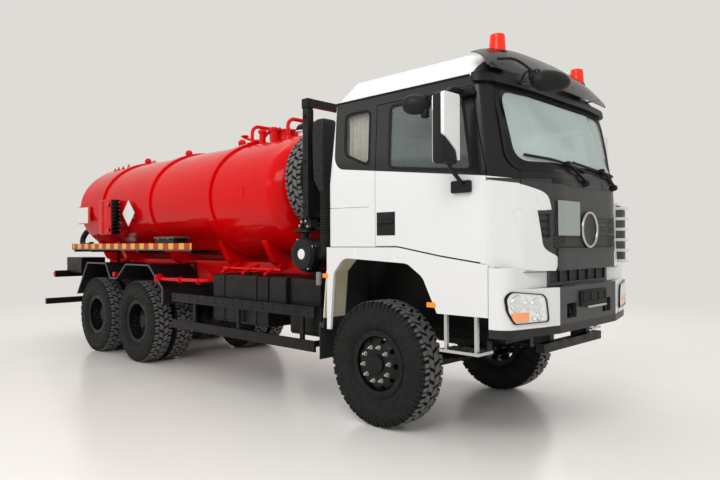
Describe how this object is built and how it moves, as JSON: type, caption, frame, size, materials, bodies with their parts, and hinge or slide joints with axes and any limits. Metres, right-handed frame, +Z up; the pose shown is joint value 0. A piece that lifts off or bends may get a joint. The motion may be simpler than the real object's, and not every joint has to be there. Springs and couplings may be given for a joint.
{
  "type": "tanker truck",
  "caption": "Off-road three-axle tanker truck: tilting sleeper cab, frame, elliptical red tank on a cradle, spare wheel rack, hose trays, steered front and twin rear wheels.",
  "frame": {"origin": "middle of the overall length and width, on the ground", "axes": "+X forward along the longest extent, +Y to the vehicle's left, +Z up"},
  "size_m": [10.47, 3.235, 3.695],
  "materials": {
    "white_paint": "gloss",
    "grey_paint": "satin",
    "red_paint": "gloss",
    "black_paint": "satin",
    "black_plastic": "matte",
    "smoked_plastic": "gloss",
    "lamp_clear": "gloss",
    "window_glass": "gloss",
    "red_lens": "gloss",
    "cast_iron": "matte",
    "steel": "satin",
    "tyre": "matte",
    "cloth": "matte"
  },
  "bodies": {
    "chassis": {"frame_rails": "black_paint", "engine_block": "cast_iron", "propeller_shafts": "cast_iron", "axle_housings": "cast_iron", "leaf_springs": "black_paint", "front_bumper": "white_paint", "headlights": "lamp_clear", "front_fenders": "white_paint", "arch_liners": "black_plastic", "entry_steps": "steel", "fuel_tank": "black_paint", "urea_tank": "black_plastic", "silencer_and_battery_box": "black_paint", "side_guards": "black_paint", "spare_rack": "black_paint", "spare_wheel": "tyre", "air_intake": "black_plastic", "tank_cradle": "red_paint", "tank_shell": "red_paint", "tank_fittings": "red_paint", "hose_trays": "black_paint", "control_box": "red_paint", "sign_plate": "white_paint", "rear_fenders": "black_plastic", "rear_bars": "black_paint", "outlet_pipe": "red_paint"},
    "lid": {"manhole_lid": "red_paint"},
    "cab": {"cab_shell": "white_paint", "cab_roof": "white_paint", "cab_front_panel": "grey_paint", "cab_cheeks": "white_paint", "cab_glass": "window_glass", "roof_brow": "black_plastic", "sun_visor": "smoked_plastic", "front_mirror": "black_plastic", "beacons": "red_lens", "seats": "cloth", "dashboard": "black_plastic"},
    "door_left": {"door_left": "white_paint", "door_glass_left": "window_glass", "mirror_left": "black_plastic"},
    "door_right": {"door_right": "white_paint", "door_glass_right": "window_glass", "mirror_right": "black_plastic"},
    "knuckle_left": {"knuckle_left": "cast_iron"},
    "knuckle_right": {"knuckle_right": "cast_iron"},
    "tie_rod": {"tie_rod": "steel"},
    "wheel_front_left": {"tyre_front_left": "tyre", "rim_front_left": "black_paint"},
    "wheels_middle_left": {"tyres_middle_left": "tyre", "rims_middle_left": "black_paint"},
    "wheels_rear_left": {"tyres_rear_left": "tyre", "rims_rear_left": "black_paint"},
    "wheel_front_right": {"tyre_front_right": "tyre", "rim_front_right": "black_paint"},
    "wheels_middle_right": {"tyres_middle_right": "tyre", "rims_middle_right": "black_paint"},
    "wheels_rear_right": {"tyres_rear_right": "tyre", "rims_rear_right": "black_paint"}
  },
  "joints": [
    {"name": "cab_tilt", "type": "hinge", "parent": "chassis", "child": "cab", "pos_m": [4.935, 0, 1.05], "axis": [0, 1, 0], "range_deg": [0, 55]},
    {"name": "door_left_hinge", "type": "hinge", "parent": "cab", "child": "door_left", "pos_m": [4.747, 1.239, 2], "axis": [0, 0, -1], "range_deg": [0, 70]},
    {"name": "door_right_hinge", "type": "hinge", "parent": "cab", "child": "door_right", "pos_m": [4.747, -1.239, 2], "axis": [0, 0, 1], "range_deg": [0, 70]},
    {"name": "manhole_lid_hinge", "type": "hinge", "parent": "chassis", "child": "lid", "pos_m": [0.655, 0.295, 3.368], "axis": [-1, 0, 0], "range_deg": [0, 110]},
    {"name": "steering_left", "type": "hinge", "parent": "chassis", "child": "knuckle_left", "pos_m": [3.485, 0.89, 0.615], "axis": [0, 0, 1], "range_deg": [-32, 32]},
    {"name": "steering_right", "type": "hinge", "parent": "chassis", "child": "knuckle_right", "pos_m": [3.485, -0.89, 0.615], "axis": [0, 0, 1], "range_deg": [-32, 32]},
    {"name": "tie_rod_pin", "type": "hinge", "parent": "knuckle_left", "child": "tie_rod", "pos_m": [3.28, 0.89, 0.46], "axis": [0, 0, 1], "range_deg": [-32, 32]},
    {"name": "roll_front_left", "type": "hinge", "parent": "knuckle_left", "child": "wheel_front_left", "pos_m": [3.485, 1.08, 0.615], "axis": [0, 1, 0], "continuous": true},
    {"name": "roll_middle_left", "type": "hinge", "parent": "chassis", "child": "wheels_middle_left", "pos_m": [-1.465, 0.902, 0.615], "axis": [0, 1, 0], "continuous": true},
    {"name": "roll_rear_left", "type": "hinge", "parent": "chassis", "child": "wheels_rear_left", "pos_m": [-2.895, 0.902, 0.615], "axis": [0, 1, 0], "continuous": true},
    {"name": "roll_front_right", "type": "hinge", "parent": "knuckle_right", "child": "wheel_front_right", "pos_m": [3.485, -1.08, 0.615], "axis": [0, 1, 0], "continuous": true},
    {"name": "roll_middle_right", "type": "hinge", "parent": "chassis", "child": "wheels_middle_right", "pos_m": [-1.465, -0.902, 0.615], "axis": [0, 1, 0], "continuous": true},
    {"name": "roll_rear_right", "type": "hinge", "parent": "chassis", "child": "wheels_rear_right", "pos_m": [-2.895, -0.902, 0.615], "axis": [0, 1, 0], "continuous": true}
  ],
  "couplings": [
    {"joint": "steering_right", "follows": "steering_left", "ratio": 1},
    {"joint": "tie_rod_pin", "follows": "steering_left", "ratio": -1}
  ]
}
